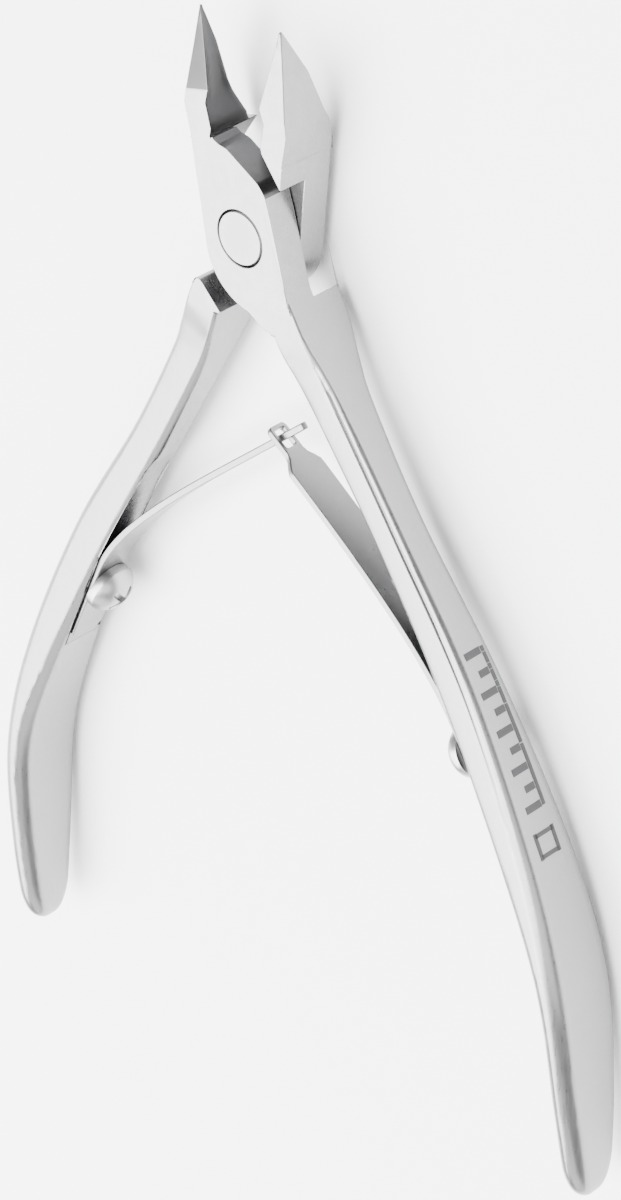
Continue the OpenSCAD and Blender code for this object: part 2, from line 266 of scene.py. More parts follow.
def round_corner(q, w, d, r, arc):
    """Points of corner q of a rectangle of half sizes w and d, rounded by r."""
    cx, cz = (w - r if q in (0, 3) else r - w), (d - r if q < 2 else r - d)
    turns = [math.pi / 2 * (q + i / arc) for i in range(arc + 1)]
    return [(cx + r * math.cos(a), cz + r * math.sin(a)) for a in turns]


# ---- meshes ----

def loft_mesh(rings):
    """Closed solid through rings of equal length."""
    count = len(rings[0])
    points = [p for ring in rings for p in ring]
    faces = []
    for i in range(len(rings) - 1):
        for j in range(count):
            a, b = i * count + j, i * count + (j + 1) % count
            faces.append((a, b, b + count, a + count))
    faces.append(tuple(range(count))[::-1])
    faces.append(tuple((len(rings) - 1) * count + j for j in range(count)))
    return points, faces


def prism_mesh(outline, low, high):
    return loft_mesh([[(p[0], p[1], low) for p in outline], [(p[0], p[1], high) for p in outline]])


def circle(radius, steps=96):
    return [(radius * math.cos(a), radius * math.sin(a))
            for a in np.linspace(0, 2 * math.pi, steps, endpoint=False)]


def rod_mesh(radius, low, high, steps=96):
    return prism_mesh(circle(radius, steps), low, high)


def lathe_mesh(profile):
    """Solid turned from a profile of (radius, height) pairs that starts and ends on the axis."""
    return loft_mesh([[(*p, z) for p in circle(max(r, 1e-4))] for r, z in profile])


def linked(name, data):
    """New object in the scene that shows that data."""
    obj = bpy.data.objects.new(name, data)
    bpy.context.scene.collection.objects.link(obj)
    return obj


def made(name, points_faces, matrix=None):
    """Object from points in millimetres, with outward faces and no doubles."""
    points, faces = points_faces
    mesh = bpy.data.meshes.new(name)
    mesh.from_pydata([[c * MM for c in p] for p in points], [], faces)
    if matrix is not None:
        mesh.transform(matrix)
    turn_outwards(mesh)
    return linked(name, mesh)


@contextmanager
def edited(mesh):
    work = bmesh.new()
    work.from_mesh(mesh)
    yield work
    work.to_mesh(mesh)
    work.free()
    mesh.update()


def turn_outwards(mesh, merge=1e-7):
    with edited(mesh) as work:
        bmesh.ops.remove_doubles(work, verts=work.verts, dist=merge)
        bmesh.ops.recalc_face_normals(work, faces=work.faces)


def settle(obj):
    """Turns an object with modifiers into a plain mesh of the same name."""
    graph = bpy.context.evaluated_depsgraph_get()
    graph.update()
    done = bpy.data.meshes.new_from_object(obj.evaluated_get(graph), preserve_all_data_layers=True,
                                           depsgraph=graph)
    obj.modifiers.clear()
    obj.data = done


def carve(obj, others, operation):
    """Joins others to obj or cuts them from it, and removes them."""
    for other in others:
        step = obj.modifiers.new("carve", "BOOLEAN")
        step.operation = operation
        step.solver = "MANIFOLD"
        step.object = other
        settle(obj)
        if not obj.data.polygons:
            raise RuntimeError(f"{obj.name}: nothing is left after {operation} with {other.name}")
        bpy.data.objects.remove(other, do_unlink=True)


def clean(obj, merge=2e-6, flat=0.3):
    """Removes doubles, slivers and the edges inside flat faces."""
    with edited(obj.data) as work:
        bmesh.ops.remove_doubles(work, verts=work.verts, dist=merge)
        bmesh.ops.dissolve_limit(work, angle_limit=math.radians(flat), verts=work.verts, edges=work.edges)
        bmesh.ops.dissolve_degenerate(work, edges=work.edges, dist=merge)
        bmesh.ops.recalc_face_normals(work, faces=work.faces)


def soften(obj, width, angle=32.0, segments=2):
    """Rounds the sharp edges, smooths the shading and stores how worn each point is."""
    bevel = obj.modifiers.new("soften", "BEVEL")
    bevel.limit_method = "ANGLE"
    bevel.angle_limit = math.radians(angle)
    bevel.width = width
    bevel.segments = segments
    bevel.use_clamp_overlap = False
    bevel.miter_outer = "MITER_ARC"
    settle(obj)
    shade(obj)
    even = obj.modifiers.new("even", "WEIGHTED_NORMAL")
    even.keep_sharp = True
    even.weight = 80
    settle(obj)


def shade(obj, angle=38.0, worn=40.0):
    """Smooths all but the sharp edges. A point is fully worn where its faces bend by that many degrees."""
    mesh, wear = obj.data, []
    with edited(mesh) as work:
        for vert in work.verts:
            bend = max((e.calc_face_angle(0.0) for e in vert.link_edges), default=0.0)
            wear.append(min(1.0, bend / math.radians(worn)))
        for edge in work.edges:
            edge.smooth = edge.calc_face_angle(0.0) < math.radians(angle)
        for face in work.faces:
            face.smooth = True
    layer = mesh.attributes.get("wear") or mesh.attributes.new("wear", "FLOAT", "POINT")
    layer.data.foreach_set("value", wear)


def paint(obj, material):
    obj.data.materials.clear()
    obj.data.materials.append(material)
    for face in obj.data.polygons:
        face.material_index = 0


# ---- levers ----

MIRROR = Matrix.Scale(-1, 4, (1, 0, 0))


def spin(angle):
    return Matrix.Rotation(angle, 4, "Z")


def in_mm(group, leave=()):
    return {key: getattr(group, key) / MM for key in group.__annotations__ if key not in leave}


class Plan:
    """Sizes in millimetres, with the curves of one handle, drawn shut on the right side."""

    def __init__(self, scene):
        self.lever = in_mm(scene.nipper_lever, leave=("rest_angle", "handle_set"))
        self.spring, self.pivot = in_mm(scene.nipper_spring), in_mm(scene.nipper_pivot)
        self.screw = in_mm(scene.nipper_screw)
        self.half_open = scene.nipper_lever.rest_angle / 2
        self.handle_set = scene.nipper_lever.handle_set
        s = self.lever
        self.mid = s["depth"] / 2
        lap, nw, nd = self.mid, s["neck_width"], s["neck_depth"]
        pw, pd, reach, bow = s["paddle_width"], s["paddle_depth"], s["handle"], s["bow"]
        # Along the handle's middle line: x, y, half width and half depth.
        self.rows = np.array([
            [2.7, -4.5, 1.4, lap], [3.4, -9.5, 1.85, lap], [4.25, -13.2, nw, nd + 0.6],
            [5.4, -17.6, nw, nd + 0.25], [8.9, -28.7, nw, nd], [13.85, -43.5, nw + 0.3, nd + 0.5],
            [bow - 1.2, -0.63 * reach, nw + 0.1, pd - 0.7], [bow, -0.76 * reach, pw, pd - 0.1],
            [bow - 1.7, -0.89 * reach, pw - 0.05, pd - 0.7], [bow - 3.8, -reach, pw - 0.1, pd - 1.9]])
        span, start = 5, self.rows[5][1]
        self.screw_u = span - (self.spring["screw_y"] + start) / (self.rows[span + 1][1] - start)
        self.heading = heading(self.rows, self.screw_u)
        self.seat = self.seat_floor(self.screw_u)

    def seat_floor(self, u):
        row = spline(self.rows, u)
        return row[:2] + inwards(heading(self.rows, u)) * (row[2] - self.spring["seat_depth"])

    def section(self, u, k, front, arc=6):
        """Ring across the handle: a rounded rectangle with crowned faces and a fading crease."""
        row, t = spline(self.rows, u), heading(self.rows, u)
        across = -inwards(t)
        w, d = row[2] * k, row[3] * k
        r = min(0.3 + 0.14 * u + 0.18 * max(0.0, u - 5.5), 0.92 * w)
        fade = max(0.0, min(1.0, (6.4 - u) / 1.8)) * min(1.0, max(0.0, u - 1.6))
        crease = self.lever["crease"] * fade if front else 0.0
        flat = self.mid if u < 1.4 else 2 * self.mid
        crown = 0.09 * max(0.0, min(1.0, (u - 1.6) / 1.5))
        out = []

        def put(x, z):
            z = max(-flat, min(flat, z * (1 - crown * (x / w) ** 2)))
            out.append((row[0] + across[0] * x, row[1] + across[1] * x, self.mid + z))

        for q in range(4):
            for i, (x, z) in enumerate(round_corner(q, w, d, r, arc)):
                if q == 0 and i in (arc - 2, arc - 1):
                    deep = crease * (1.0 if i == arc - 1 else 0.25)
                    x, z = x - 0.6 * deep, z - deep
                put(x, z)
            if q in (0, 2):
                side = 1 if q == 0 else -1
                for x in np.linspace(side * (w - r), -side * (w - r), 5)[1:-1]:
                    put(x, side * d)
        return out

    def handle(self, front):
        """The whole handle, with an elliptical end over the last half span."""
        spans, steps, reach = len(self.rows) - 1, 12, 0.5
        rings = [self.section(u, 1, front) for u in np.arange(0, spans - reach - 0.02, 1 / steps)]
        for i in range(1, steps + 1):
            a = math.radians(90 * i / steps - 1.2)
            rings.append(self.section(spans - reach + reach * math.sin(a), math.cos(a) ** 0.9, front))
        return loft_mesh(rings)

    def plate(self):
        """The joint plate, with the rounded back that turns beside the other lever's shoulder."""
        jw, out, throat = (self.lever[key] for key in ("jaw_width", "lap_out", "throat"))
        centre, radius = (1.5, -1.5), 6.05
        arc = [(centre[0] + radius * math.cos(a), centre[1] + radius * math.sin(a))
               for a in np.radians(np.linspace(174, 246, 40))]
        jaw_side = [(-throat, 9.4), (-jw - 0.04, 9.4), (0.4 - out, 7.0), (0.1 - out, 3.4)]
        back = [(0.5, -8.5), (1.6, -9.1), (4.5, -9.1), (4.45, -5.0)]
        outer = filleted([back[-1], (4.45, 2.2), (4.35, 4.3), (3.8, 5.4), (0.7, 8.5), (-0.2, 8.9),
                          (-throat, 9.3)], 1.4, closed=False)
        return prism_mesh(jaw_side + arc + back + outer[1:], 0.0, self.lever["depth"])

    def jaw(self):
        """The jaw from the joint to its tip, hollow-ground on the inner side."""
        s = self.lever
        f, jw, th, heel = s["depth"], s["jaw_width"], s["throat"], s["heel"]
        tip, half = heel + s["edge"], heel + 0.5 * s["edge"]
        drop, tip_z = s["tip_back"] / 2, f - s["tip_back"]
        # Each key: y, cutting edge (x, z), hollow, inner back edge, outer back edge, outer front edge.
        keys = [
            (8.4, (-th - 0.9, f), 0.1, (-1.9, 0.6), (-jw + 0.02, 0), (-jw + 0.02, f)),
            (10.2, (-th, f), 0.1, (-1.1, 1.4), (-jw - 0.1, 0.02), (-jw, f)),
            (heel - 1.3, (-th, f), 0.2, (-0.8, 2.8), (-jw, 0.7), (-jw, f)),
            (heel, (0, f + 0.05), 0.55, (-0.55, 3.3), (-jw + 0.15, 1.5), (-jw + 0.5, f - 0.1)),
            (half, (0, f - drop), 0.3, (-0.4, 3.8), (-0.6 * jw, 2.9), (-0.45 * jw, f - drop - 0.1)),
            (tip, (0, tip_z), 0.03, (-0.03, tip_z - 0.24), (-0.2, tip_z - 0.26), (-0.17, tip_z - 0.02))]
        rings = []
        for a, b in zip(keys, keys[1:]):
            for t in np.linspace(0, 1, 5)[:-1]:
                rings.append([np.array(p, float) * (1 - t) + np.array(q, float) * t
                              for p, q in zip(a, b)])
        rings.append([np.array(p, float) for p in keys[-1]])
        out = []
        for y, edge, hollow, inner, back, front in rings:
            ring = [edge * (1 - t) + inner * t - np.array([4 * t * (1 - t) * hollow, 0])
                    for t in np.linspace(0, 1, 11)]
            out.append([(p[0], y, p[1]) for p in ring + [back, front]])
        return loft_mesh(out)

    def shoulder_line(self):
        """A point of the lower shoulder and the direction it runs in."""
        return np.array([2.45, 0.2 - self.lever["shoulder"]]), np.array([0.82, 0.573])

    def lap_slot(self, front):
        """Cutter for the half of the joint that the other lever fills, between the two shoulders."""
        low, along = self.shoulder_line()
        high, up = np.array([-2.6, self.lever["crown"]]), np.array([0.745, 0.667])
        reach, depth = 14, self.lever["depth"]
        outline = [low - reach * along, low + reach * along, high + reach * up, high - reach * up]
        cut = self.mid + self.lever["lap_gap"] / 2
        return prism_mesh(outline, *((-1.0, cut) if front else (depth - cut, depth + 1)))

    def shoulder_round(self):
        """Cutter that rounds the outer corner of the rear lever's lower shoulder."""
        low, along = self.shoulder_line()
        side_x, reach, down = 4.53, 1.25, unit((0.1, -1))
        corner = low + along * (side_x - low[0]) / along[0]
        a, b = corner + reach * down, corner - reach * along
        outline = [(1 - t) ** 2 * a + 2 * t * (1 - t) * corner + t * t * b for t in np.linspace(0, 1, 9)]
        outline += [b + np.array([-0.57, 0.82]), corner + np.array([0.8, 1.8]), a + np.array([1.4, 0.1])]
        return prism_mesh(outline, self.mid - self.lever["lap_gap"] / 2, self.lever["depth"] + 1)

    def leaf_seat(self):
        """Cutter for the seat under a leaf, which runs out at both ends."""
        half = self.spring["width"] / 2 + self.spring["seat_side"]
        below, above = 0.5, 1.3
        rings = []
        for u in self.screw_u + below - (below + above) * np.linspace(0, 1, 40) ** 1.6:
            inner = inwards(heading(self.rows, u))
            run_out = max(0.0, 1 - (self.screw_u + below - u) / 0.06,
                          1 - (u - self.screw_u + above) / 0.4) ** 2
            low = self.seat_floor(u) + inner * run_out * (self.spring["seat_depth"] + 0.03)
            high = low + 3 * inner
            w = min(half, spline(self.rows, u)[3] - self.spring["seat_rim"])
            rings.append([(*p, self.mid + z) for p, z in ((low, w), (low, -w), (high, -w), (high, w))])
        return loft_mesh(rings)

    def into_handle(self):
        """Matrix that stands a turned part on the seat, with its height pointing inwards."""
        n = inwards(self.heading)
        z = Vector((n[0], n[1], 0))
        x = Vector((0, 0, -1))
        y = z.cross(x)
        place = Matrix((x, y, z)).transposed().to_4x4()
        place.translation = Vector((self.seat[0], self.seat[1], self.mid)) * MM
        return place

    def rest_turn(self, side):
        return self.half_open + (self.handle_set if side > 0 else 0)


def finish_and_shade_jaw(plan, lever, front, ground, honed):
    """Gives the hollow inner side of the jaw and its front facet their own finishes; their dark tints are
    painted shade, standing in for the dark reflections on these faces.
    """
    lever.data.materials.append(ground)
    lever.data.materials.append(honed)
    back = spin(-plan.half_open) if front else spin(plan.half_open)
    side = 1 if front else -1
    for face in lever.data.polygons:
        middle, normal = back @ face.center, back.to_3x3() @ face.normal
        # Inward-facing jaw faces: hollow-ground, with painted shade in their dark tint.
        if middle.y > 4.0 * MM and side * normal.x > 0.35 and abs(normal.z) < 0.75:
            face.material_index = 1
        # Front facets past the heel: honed, with painted shade in their dark tint.
        elif front and middle.y > plan.lever["heel"] * MM and normal.z > 0.5:
            face.material_index = 2


def make_lever(plan, name, front, material, ground, honed):
    """One lever with its jaw, lap, bores, seat and screw hole."""
    extra = plan.handle_set if front else 0
    lever, p, s = made(name, plan.handle(front), spin(extra)), plan.pivot, plan.lever
    carve(lever, [made("plate", plan.plate()), made("jaw", plan.jaw())], "UNION")
    slack = p["clearance"] if front else 0.0
    low, high = -1, p["head_thick"]
    if front:
        low, high = s["depth"] - p["head_thick"] - slack, s["depth"] + 1
    cuts = [made("slot", plan.lap_slot(front)),
            made("bore", rod_mesh(p["shank"] + slack, -1, s["depth"] + 1)),
            made("counterbore", rod_mesh(p["head"] + slack, low, high)),
            made("seat", plan.leaf_seat(), spin(extra)),
            made("screw_hole", rod_mesh(plan.screw["shank"], -plan.screw["depth"], 4),
                 spin(extra) @ plan.into_handle())]
    if not front:
        cuts.append(made("corner", plan.shoulder_round()))
    carve(lever, cuts, "DIFFERENCE")
    if front:
        lever.data.transform(spin(plan.half_open))
    else:
        lever.data.transform(spin(-plan.half_open) @ MIRROR)
    clean(lever)
    soften(lever, s["soften"] * MM)
    paint(lever, material)
    finish_and_shade_jaw(plan, lever, front, ground, honed)
    node, body = ("front_lever", "front_half") if front else ("rear_lever", "rear_half")
    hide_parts(node)
    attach(lever, body)


# ---- springs ----

def leaf_section(point, direction, half_wide, thick, mid, edge, arc=3):
    """Ring across a leaf: a rectangle with rounded corners."""
    n = np.array([-direction[1], direction[0]])
    r = min(edge, 0.45 * thick, 0.45 * half_wide)
    return [(point[0] + n[0] * x, point[1] + n[1] * x, mid + z)
            for q in range(4) for x, z in round_corner(q, thick / 2, half_wide, r, arc)]


def leaf_stations(plan, side):
    """Middle line of a leaf at rest on the right side: (point, direction, half width) from heel to tip."""
    s, turn, rows = plan.spring, plan.rest_turn(side), plan.rows
    wide, raised = s["width"] / 2, s["thick"] / 2 + s["lift"]
    heel, steps = 0.44, 11
    straight, root_pull, hook_pull, lean = 2.4, 8, 12, math.radians(38)
    out = []
    for i in range(steps):
        k = 1 - i / steps
        u = plan.screw_u + heel * k
        t = heading(rows, u)
        p = plan.seat_floor(u) + inwards(t) * raised
        out.append((turned(p, turn), turned(-t, turn), wide - 0.75 * max(0.0, (k - 0.9) / 0.1) ** 2))
    root = turned(plan.seat + inwards(plan.heading) * raised, turn)
    up = turned(-plan.heading, turn)
    hook = np.array([side * s["hook_x"], -s["hook_y"]])
    start, leaning = root + straight * up, np.array([-math.cos(lean), math.sin(lean)])
    path = [start, start + root_pull * up, hook - hook_pull * leaning, hook]
    out.append((root, up, wide))
    eye_half = s["tongue"] / 2 + s["eye_side"] + s["eye_wall"]
    for t in np.linspace(0, 1, 64):
        d = unit(bezier(path, min(t + 0.002, 1)) - bezier(path, max(t - 0.002, 0)))
        if side > 0:
            fall = max(0.0, min(1.0, (t - 0.9) / 0.05))
            half = wide + (eye_half - wide) * fall * fall * (3 - 2 * fall)
        else:
            along = max(0.0, (t - 0.285) / 0.715)
            half = wide + (s["tongue"] / 2 - wide) * min(along / 0.88, 1) ** 1.2
        out.append((bezier(path, t), d, half))
    tip = unit(bezier(path, 1) - bezier(path, 0.996))
    if side > 0:
        reach = s["eye_above"] + s["eye_wall"]
        for k in (0.3, 0.6, 0.8, 0.93, 1.0):
            out.append((hook + tip * reach * k, tip, eye_half - 0.3 * max(0, (k - 0.6) / 0.4) ** 2))
    else:
        for k in (0.35, 0.7, 0.9, 0.97, 1.0):
            out.append((hook + tip * s["tongue_reach"] * k, tip,
                        s["tongue"] / 2 - 0.18 * max(0, (k - 0.85) / 0.15) ** 2))
    return out, hook, tip


def make_leaf(plan, name, side, nodes, material):
    """One leaf spring, from its seat on the handle round to its hook, with an eye or a tongue past it."""
    s = plan.spring
    stations, hook, tip = leaf_stations(plan, side)
    rings = [leaf_section(p, d, w, s["thick"], plan.mid, s["round"]) for p, d, w in stations]
    leaf = made(name, loft_mesh(rings))
    cuts = [made("leaf_hole", rod_mesh(plan.screw["shank"] + 0.2, -3, 3),
                 spin(plan.rest_turn(side)) @ plan.into_handle())]
    if side > 0:
        half = s["tongue"] / 2 + s["eye_side"]
        long = s["eye_long"] / 2
        centre = hook + tip * (s["eye_above"] - long)
        flat = filleted([(-long, -half), (long, -half), (long, half), (-long, half)], 0.3)
        frame_in = Matrix(((tip[0], 0, -tip[1], centre[0] * MM), (tip[1], 0, tip[0], centre[1] * MM),
                           (0, 1, 0, plan.mid * MM), (0, 0, 0, 1)))
        cuts.append(made("eye_slot", prism_mesh(flat, -2, 2), frame_in))
    carve(leaf, cuts, "DIFFERENCE")
    if side < 0:
        leaf.data.transform(MIRROR)
    clean(leaf)
    soften(leaf, 0.07 * MM, angle=50)
    paint(leaf, material)
    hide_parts(*nodes)
    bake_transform(leaf)


# ---- pieces made with geometry nodes ----

def add(tree, kind, inputs=(), **settings):
    """New node in a tree, with its settings made and its inputs linked or set."""
    node = tree.nodes.new(kind)
    for key, value in settings.items():
        setattr(node, key, value)
    for key, value in dict(inputs).items():
        if isinstance(value, bpy.types.NodeSocket):
            tree.links.new(value, node.inputs[key])
        else:
            node.inputs[key].default_value = value
    return node


def calc(tree, operation, a, b):
    return add(tree, "ShaderNodeMath", {0: a, 1: b}, operation=operation).outputs[0]


class Tree:
    """A geometry node tree with named inputs."""

    def __init__(self, name):
        self.tree = bpy.data.node_groups.new(name, "GeometryNodeTree")
        for way in ("INPUT", "OUTPUT"):
            self.tree.interface.new_socket("Geometry", in_out=way, socket_type="NodeSocketGeometry")
        self.start = self.tree.nodes.new("NodeGroupInput")
        self.end = self.tree.nodes.new("NodeGroupOutput")

    def size(self, name, default):
        socket = self.tree.interface.new_socket(name, in_out="INPUT", socket_type="NodeSocketFloat")
        socket.default_value = default
        return self.start.outputs[name]

    def node(self, kind, inputs=(), **settings):
        return add(self.tree, kind, inputs, **settings)

    def math(self, operation, a, b):
        return calc(self.tree, operation, a, b)

    def vector(self, x, y, z):
        return self.node("ShaderNodeCombineXYZ", {"X": x, "Y": y, "Z": z}).outputs[0]

    def raised(self, shape, height, turn=0.0):
        """The shape moved up and turned about the Z axis."""
        place = {"Geometry": shape.outputs[0], "Translation": self.vector(0.0, 0.0, height)}
        return self.node("GeometryNodeTransform", {**place, "Rotation": (0, 0, turn)}).outputs[0]

    def boolean(self, operation, meshes, base=None):
        step = self.node("GeometryNodeMeshBoolean", operation=operation, solver="MANIFOLD")
        if base is not None:
            self.tree.links.new(base, step.inputs["Mesh 1"])
        for mesh in meshes:
            self.tree.links.new(mesh, step.inputs["Mesh 2"])
        return step.outputs["Mesh"]

    def finish(self, geometry, material):
        real = self.node("GeometryNodeRealizeInstances", {"Geometry": geometry})
        coat = self.node("GeometryNodeSetMaterial", {"Geometry": real.outputs[0], "Material": material})
        self.tree.links.new(coat.outputs[0], self.end.inputs[0])
        return self.tree


def run_tree(name, tree, base, values):
    """A plain mesh object made by a tree from a base mesh."""
    obj = made(name, base) if isinstance(base, tuple) else base
    step = obj.modifiers.new(name, "NODES")
    step.node_group = tree
    ids = {item.name: item.identifier for item in tree.interface.items_tree
           if item.item_type == "SOCKET" and item.in_out == "INPUT"}
    for key, value in values.items():
        step[ids[key]] = value
    settle(obj)
    if not obj.data.polygons:
        raise RuntimeError(f"{name}: the tree made nothing")
    return obj


SCREW_INPUTS = ("Head radius", "Head height", "Shank radius", "Shank depth", "Base height",
                "Dome height", "Recess width", "Recess depth", "Recess length")


def screw_tree(material):
    """Domed head with a short cylindrical band, a shank and a crossed recess, standing on z = 0."""
    t = Tree("domed_screw")
    head, high, shank, depth, base, dome, wide, deep, span = (t.size(label, MM) for label in SCREW_INPUTS)
    into_head, over = 0.6 * MM, 1.0 * MM
    top = t.math("ADD", base, high)
    squares = t.math("ADD", t.math("MULTIPLY", head, head), t.math("MULTIPLY", dome, dome))
    ball_r = t.math("DIVIDE", squares, t.math("MULTIPLY", dome, 2.0))
    band = t.node("GeometryNodeMeshCylinder", {"Vertices": 96, "Radius": head, "Depth": high})
    band = t.raised(band, t.math("ADD", base, t.math("MULTIPLY", high, 0.5)))
    ball = t.node("GeometryNodeMeshUVSphere", {"Segments": 128, "Rings": 96, "Radius": ball_r})
    ball = t.raised(ball, t.math("SUBTRACT", top, ball_r))
    stem_long = t.math("ADD", depth, t.math("ADD", base, into_head))
    stem = t.node("GeometryNodeMeshCylinder", {"Vertices": 48, "Radius": shank, "Depth": stem_long})
    stem = t.raised(stem, t.math("SUBTRACT", t.math("MULTIPLY", stem_long, 0.5), depth))
    whole = t.boolean("UNION", [t.boolean("INTERSECT", [band, ball]), stem])
    tall = t.math("ADD", deep, over)
    arm = t.node("GeometryNodeMeshCube", {"Size": t.vector(span, wide, tall)})
    lifted = t.math("ADD", t.math("SUBTRACT", top, deep), t.math("MULTIPLY", tall, 0.5))
    for degrees in (45, 135):
        whole = t.boolean("DIFFERENCE", [t.raised(arm, lifted, math.radians(degrees))], whole)
    return t.finish(whole, material)


def make_screw(plan, tree, name, side, body, node, material):
    """One screw, standing on its leaf's seat."""
    s = plan.screw
    base = plan.spring["lift"] + plan.spring["thick"] + 0.03
    sizes = (s["head"], s["head_high"], s["shank"], s["depth"], base, 0.65 * s["head_high"],
             s["slot_wide"], s["slot_deep"], s["slot_long"])
    screw = run_tree(name, tree, rod_mesh(0.1, 0, 0.1, steps=8),
                     {label: size * MM for label, size in zip(SCREW_INPUTS, sizes)})
    screw.data.transform(spin(plan.rest_turn(side)) @ plan.into_handle())
    if side < 0:
        screw.data.transform(MIRROR)
    clean(screw, flat=0.05)
    soften(screw, s["round"] * MM, angle=40)
    paint(screw, material)
    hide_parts(node)
    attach(screw, body)


def mark_tree(material):
    """A thin tile at every point, of the size in its tile attribute, turned by its turn attribute."""
    t = Tree("etched_row")
    proud, sink = t.size("Relief", 0.01 * MM), t.size("Sunk depth", 0.06 * MM)
    known = "GeometryNodeInputNamedAttribute"
    size = t.node(known, {"Name": "tile"}, data_type="FLOAT_VECTOR").outputs[0]
    turn = t.node(known, {"Name": "turn"}, data_type="FLOAT").outputs[0]
    cube = t.node("GeometryNodeMeshCube", {"Size": (1.0, 1.0, 1.0)}).outputs[0]
    points = t.node("GeometryNodeMeshToPoints", {"Mesh": t.start.outputs["Geometry"]}).outputs[0]
    split = t.node("ShaderNodeSeparateXYZ", {"Vector": size})
    scale = t.vector(t.math("ADD", proud, sink), split.outputs["Y"], split.outputs["Z"])
    rotation = t.node("FunctionNodeEulerToRotation", {"Euler": t.vector(0.0, 0.0, turn)}).outputs[0]
    tiles = t.node("GeometryNodeInstanceOnPoints", {"Points": points, "Instance": cube,
                                                   "Rotation": rotation, "Scale": scale}).outputs[0]
    middle = t.math("MULTIPLY", t.math("SUBTRACT", proud, sink), 0.5)
    shift = t.node("GeometryNodeTranslateInstances",
                   {"Instances": tiles, "Translation": t.vector(middle, 0.0, 0.0)})
    return t.finish(shift.outputs[0], material)


def make_mark(plan, sizes, material):
    """Generic etched row on the front lever's outer side: ticks over a bar, and an open square."""
    def side_point(y):
        us = np.linspace(4.3, 7.4, 600)
        u = us[np.argmin([abs(spline(plan.rows, v)[1] + y) for v in us])]
        row, outer = spline(plan.rows, u), -inwards(heading(plan.rows, u))
        p, n = turned(row[:2] + outer * row[2], plan.rest_turn(1)), turned(outer, plan.rest_turn(1))
        return p, math.atan2(n[1], n[0])

    wide, high, bar = sizes.tick_wide / MM, sizes.tick_high / MM, sizes.bar_high / MM
    first, last, foot, bar_z, bar_tiles = 40.5, 55.0, -0.85, -1.15, 27
    near, far, half_square, line, short = 57.4, 59.4, 1.15, 0.42, 0.62
    tiles = []
    for i in range(sizes.ticks):
        tall = high if i % 2 == 0 else short * high
        tiles.append((first + (last - first) * i / (sizes.ticks - 1), tall / 2 + foot, wide, tall))
    for y in np.linspace(first, last, bar_tiles + 1):
        tiles.append((y, bar_z, (last - first) / bar_tiles + 0.02, bar))
    tiles += [(y, 0, line, 2 * half_square) for y in (near, far)]
    tiles += [(y, z, 0.55, line) for y in np.linspace(near, far, 5) for z in (half_square, -half_square)]
    base = bpy.data.meshes.new("etched_mark")
    points, turns, scales = [], [], []
    for y, z, w, h in tiles:
        p, angle = side_point(y)
        points.append((p[0] * MM, p[1] * MM, (plan.mid + z) * MM))
        turns.append(angle)
        scales.append((0.0, w * MM, h * MM))
    base.from_pydata(points, [], [])
    base.attributes.new("turn", "FLOAT", "POINT").data.foreach_set("value", turns)
    tile = base.attributes.new("tile", "FLOAT_VECTOR", "POINT")
    tile.data.foreach_set("vector", np.array(scales).ravel())
    mark = linked("etched_mark", base)
    run_tree("etched_mark", mark_tree(material), mark,
             {"Relief": sizes.proud, "Sunk depth": 0.06 * MM})
    shade(mark)
    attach(mark, "front_half")


# ---- materials ----

FLT, VEC = "NodeSocketFloat", "NodeSocketVector"


def shader_group(name, inputs, outputs):
    group = bpy.data.node_groups.new(name, "ShaderNodeTree")
    for label, kind, value in inputs:
        group.interface.new_socket(label, in_out="INPUT", socket_type=kind).default_value = value
    for label in outputs:
        group.interface.new_socket(label, in_out="OUTPUT", socket_type=FLT)
    return group, group.nodes.new("NodeGroupInput").outputs, group.nodes.new("NodeGroupOutput").inputs


def brushed_group():
    """Fine brushing along the steel: a height, a roughness change and a tone change."""
    group, start, end = shader_group(
        "brushed_steel", [("Vector", VEC, (0, 0, 0)), ("Fineness", FLT, 5200.0), ("Stretch", FLT, 0.06),
                          ("Strength", FLT, 0.5)], ["Height", "Rough", "Tone"])
    stretch = add(group, "ShaderNodeCombineXYZ", {"X": 1.0, "Y": start["Stretch"], "Z": 1.0})
    along = add(group, "ShaderNodeVectorMath", {0: start["Vector"], 1: stretch.outputs[0]},
                operation="MULTIPLY")
    fine = add(group, "ShaderNodeTexNoise", {"Vector": along.outputs[0], "Scale": start["Fineness"],
                                            "Detail": 3.0, "Roughness": 0.6})
    blotch = add(group, "ShaderNodeTexNoise", {"Vector": start["Vector"], "Scale": 160.0, "Detail": 4.0,
                                              "Roughness": 0.55})
    for label, source, low, high in (("Height", fine, 0.0, 1.0), ("Rough", fine, -0.10, 0.10),
                                     ("Tone", blotch, -0.05, 0.03)):
        ranged = add(group, "ShaderNodeMapRange", {"Value": source.outputs["Fac"], "From Min": 0.25,
                                                   "From Max": 0.75, "To Min": low, "To Max": high})
        group.links.new(calc(group, "MULTIPLY", ranged.outputs[0], start["Strength"]), end[label])
    return group


def wear_group():
    """Edges rubbed bright: where a point is worn, broken up by a soft noise."""
    group, start, end = shader_group(
        "rubbed_edges", [("Vector", VEC, (0, 0, 0)), ("Worn", FLT, 0.0), ("Amount", FLT, 0.6)], ["Mask"])
    noise = add(group, "ShaderNodeTexNoise", {"Vector": start["Vector"], "Scale": 900.0, "Detail": 3.0})
    broken = add(group, "ShaderNodeMapRange", {"Value": noise.outputs["Fac"], "From Min": 0.3,
                                               "From Max": 0.6})
    masked = calc(group, "MULTIPLY", start["Worn"], broken.outputs[0])
    group.links.new(calc(group, "MULTIPLY", masked, start["Amount"]), end["Mask"])
    return group


def new_material(name):
    material = bpy.data.materials.new(name)
    material.use_nodes = True
    return material, material.node_tree, material.node_tree.nodes["Principled BSDF"]


